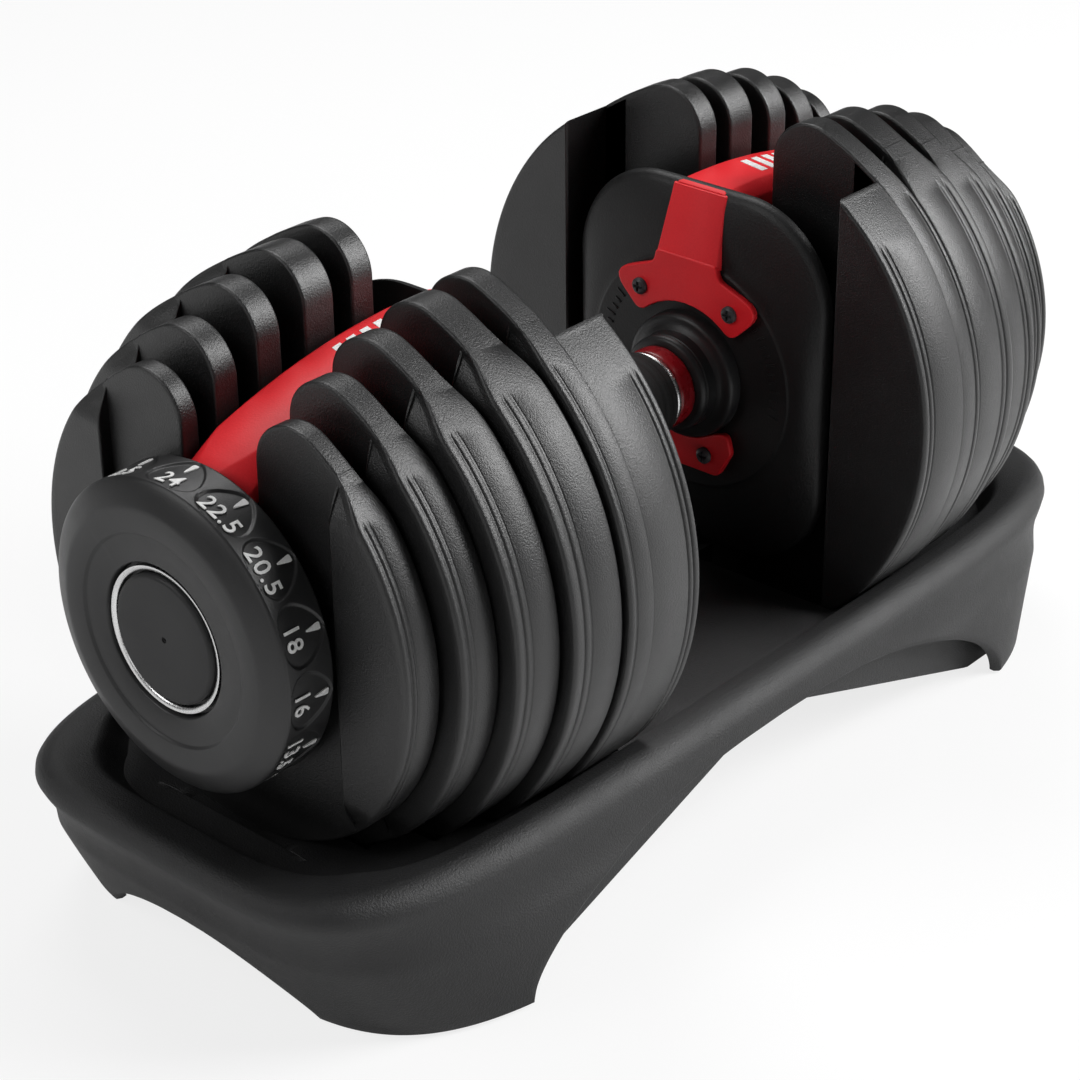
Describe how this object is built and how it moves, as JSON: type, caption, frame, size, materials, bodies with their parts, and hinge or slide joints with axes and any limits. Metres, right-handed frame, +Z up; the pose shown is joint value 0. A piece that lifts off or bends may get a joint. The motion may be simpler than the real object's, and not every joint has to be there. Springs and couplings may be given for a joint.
{
  "type": "adjustable dumbbell",
  "caption": "Adjustable dial dumbbell standing in its storage tray, with a selector dial, nested weight plates and a red bridge at each end.",
  "frame": {"origin": "centre of the tray's footprint, on the floor under the rubber feet", "axes": "+X along the handle towards the far end, +Y to the left of it, +Z up"},
  "size_m": [0.4298, 0.2068, 0.2285],
  "materials": {
    "black_plastic": "fine-textured black moulding",
    "dark_plastic": "dark grey satin moulding",
    "plate_coat": "iron weight with a grained black coat",
    "red_plastic": "bright red satin moulding",
    "rubber": "matte black rubber",
    "steel": "plated steel",
    "bright_ring": "bright ring",
    "nylon": "glass-filled nylon"
  },
  "bodies": {
    "tray": {"tray": "black_plastic", "rubber_foot_near_left": "rubber", "rubber_foot_near_right": "rubber", "rubber_foot_far_left": "rubber", "rubber_foot_far_right": "rubber"},
    "handle": {"axle_rod": "steel", "handle_tube": "steel", "rubber_grip": "rubber", "grip_ring_near": "red_plastic", "hub_collar_near": "dark_plastic", "inner_cover_near": "black_plastic", "red_bridge_near": "red_plastic", "lower_bracket_near": "red_plastic", "lock_spring_near": "steel", "screw_upper_left_near": "steel", "screw_upper_right_near": "steel", "screw_lower_left_near": "steel", "screw_lower_right_near": "steel", "grip_ring_far": "red_plastic", "hub_collar_far": "dark_plastic", "inner_cover_far": "black_plastic", "red_bridge_far": "red_plastic", "lower_bracket_far": "red_plastic", "lock_spring_far": "steel", "screw_upper_left_far": "steel", "screw_upper_right_far": "steel", "screw_lower_left_far": "steel", "screw_lower_right_far": "steel"},
    "dial_set_near": {"dial_near": "black_plastic", "dial_ring_near": "bright_ring", "end_cap_near": "dark_plastic", "dial_nut_near": "steel", "selector_disc_1_near": "nylon", "selector_disc_2_near": "nylon", "selector_disc_3_near": "nylon", "selector_disc_4_near": "nylon", "selector_disc_5_near": "nylon"},
    "lock_pin_near": {"lock_pin_near": "steel"},
    "plate_1_near": {"plate_1_near": "plate_coat"},
    "plate_2_near": {"plate_2_near": "plate_coat"},
    "plate_3_near": {"plate_3_near": "plate_coat"},
    "plate_4_near": {"plate_4_near": "plate_coat"},
    "plate_5_near": {"plate_5_near": "plate_coat"},
    "dial_set_far": {"dial_far": "black_plastic", "dial_ring_far": "bright_ring", "end_cap_far": "dark_plastic", "dial_nut_far": "steel", "selector_disc_1_far": "nylon", "selector_disc_2_far": "nylon", "selector_disc_3_far": "nylon", "selector_disc_4_far": "nylon", "selector_disc_5_far": "nylon"},
    "lock_pin_far": {"lock_pin_far": "steel"},
    "plate_1_far": {"plate_1_far": "plate_coat"},
    "plate_2_far": {"plate_2_far": "plate_coat"},
    "plate_3_far": {"plate_3_far": "plate_coat"},
    "plate_4_far": {"plate_4_far": "plate_coat"},
    "plate_5_far": {"plate_5_far": "plate_coat"}
  },
  "joints": [
    {"name": "lift", "type": "slide", "parent": "tray", "child": "handle", "axis": [0, 0, 1], "range_m": [0, 0.25]},
    {"name": "dial_turn_near", "type": "hinge", "parent": "handle", "child": "dial_set_near", "pos_m": [-0.19, 0, 0.128], "axis": [1, 0, 0], "continuous": true},
    {"name": "pin_drop_near", "type": "slide", "parent": "handle", "child": "lock_pin_near", "axis": [0, 0, -1], "range_m": [0, 0.004], "deforming": ["lock_spring_near"]},
    {"name": "plate_1_lift_near", "type": "slide", "parent": "tray", "child": "plate_1_near", "axis": [0, 0, 1], "range_m": [0, 0.25]},
    {"name": "plate_2_lift_near", "type": "slide", "parent": "tray", "child": "plate_2_near", "axis": [0, 0, 1], "range_m": [0, 0.25]},
    {"name": "plate_3_lift_near", "type": "slide", "parent": "tray", "child": "plate_3_near", "axis": [0, 0, 1], "range_m": [0, 0.25]},
    {"name": "plate_4_lift_near", "type": "slide", "parent": "tray", "child": "plate_4_near", "axis": [0, 0, 1], "range_m": [0, 0.25]},
    {"name": "plate_5_lift_near", "type": "slide", "parent": "tray", "child": "plate_5_near", "axis": [0, 0, 1], "range_m": [0, 0.25]},
    {"name": "dial_turn_far", "type": "hinge", "parent": "handle", "child": "dial_set_far", "pos_m": [0.19, 0, 0.128], "axis": [1, 0, 0], "continuous": true},
    {"name": "pin_drop_far", "type": "slide", "parent": "handle", "child": "lock_pin_far", "axis": [0, 0, -1], "range_m": [0, 0.004], "deforming": ["lock_spring_far"]},
    {"name": "plate_1_lift_far", "type": "slide", "parent": "tray", "child": "plate_1_far", "axis": [0, 0, 1], "range_m": [0, 0.25]},
    {"name": "plate_2_lift_far", "type": "slide", "parent": "tray", "child": "plate_2_far", "axis": [0, 0, 1], "range_m": [0, 0.25]},
    {"name": "plate_3_lift_far", "type": "slide", "parent": "tray", "child": "plate_3_far", "axis": [0, 0, 1], "range_m": [0, 0.25]},
    {"name": "plate_4_lift_far", "type": "slide", "parent": "tray", "child": "plate_4_far", "axis": [0, 0, 1], "range_m": [0, 0.25]},
    {"name": "plate_5_lift_far", "type": "slide", "parent": "tray", "child": "plate_5_far", "axis": [0, 0, 1], "range_m": [0, 0.25]}
  ],
  "couplings": [
    {"joint": "pin_drop_near", "follows": "lift", "ratio": 0.016},
    {"joint": "plate_1_lift_near", "follows": "lift", "ratio": 1},
    {"joint": "plate_2_lift_near", "follows": "lift", "ratio": 1},
    {"joint": "plate_3_lift_near", "follows": "lift", "ratio": 1},
    {"joint": "plate_4_lift_near", "follows": "lift", "ratio": 1},
    {"joint": "plate_5_lift_near", "follows": "lift", "ratio": 1},
    {"joint": "pin_drop_far", "follows": "lift", "ratio": 0.016},
    {"joint": "plate_1_lift_far", "follows": "lift", "ratio": 1},
    {"joint": "plate_2_lift_far", "follows": "lift", "ratio": 1},
    {"joint": "plate_3_lift_far", "follows": "lift", "ratio": 1},
    {"joint": "plate_4_lift_far", "follows": "lift", "ratio": 1},
    {"joint": "plate_5_lift_far", "follows": "lift", "ratio": 1}
  ]
}
